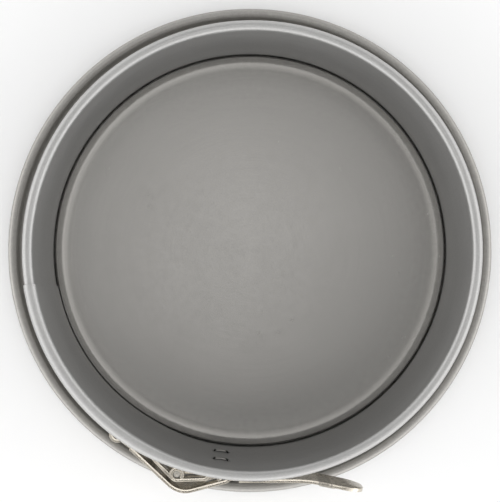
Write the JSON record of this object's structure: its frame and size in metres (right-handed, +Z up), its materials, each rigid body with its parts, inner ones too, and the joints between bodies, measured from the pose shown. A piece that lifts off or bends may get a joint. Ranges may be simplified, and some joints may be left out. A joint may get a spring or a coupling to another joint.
{
  "type": "loose-bottom cake pan",
  "caption": "Round loose-bottom cake pan: a springy side band with rolled top edge and over-centre latch on a separate base with a raised floor and drip channel.",
  "frame": {"origin": "centre of the base, on the surface that the pan stands on", "axes": "+Z up along the pan's axis, out of its mouth; -Y towards the side that carries the latch; +X the way the lever's tip points"},
  "size_m": [0.219, 0.219, 0.0712],
  "materials": {
    "base_steel": "satin, fine turning lines",
    "band_steel": "bright rolled sheet",
    "latch_plate": "nickel plated, warm",
    "pin_steel": "bright"
  },
  "bodies": {
    "base": {"base_plate": "base_steel"},
    "band": {"side_band": "band_steel", "fulcrum_bracket": "latch_plate", "fulcrum_pin": "pin_steel", "anchor_bracket": "latch_plate", "anchor_pin": "pin_steel", "anchor_rivets": "pin_steel"},
    "lever": {"lever": "latch_plate", "link_pin": "pin_steel"},
    "link": {"link": "latch_plate"}
  },
  "joints": [
    {"name": "band_lift", "type": "slide", "parent": "base", "child": "band", "axis": [0, 0, 1], "range_m": [0, 0.09]},
    {"name": "lever_swing", "type": "hinge", "parent": "band", "child": "lever", "pos_m": [-0.0314, -0.09384, 0.0372], "axis": [0, 0, -1], "range_deg": [0, 140]},
    {"name": "link_swing", "type": "hinge", "parent": "lever", "child": "link", "pos_m": [-0.01154, -0.09455, 0.0372], "axis": [0, 0, 1], "range_deg": [0, 100.8]}
  ],
  "couplings": [
    {"joint": "link_swing", "follows": "lever_swing", "ratio": 0.72}
  ]
}
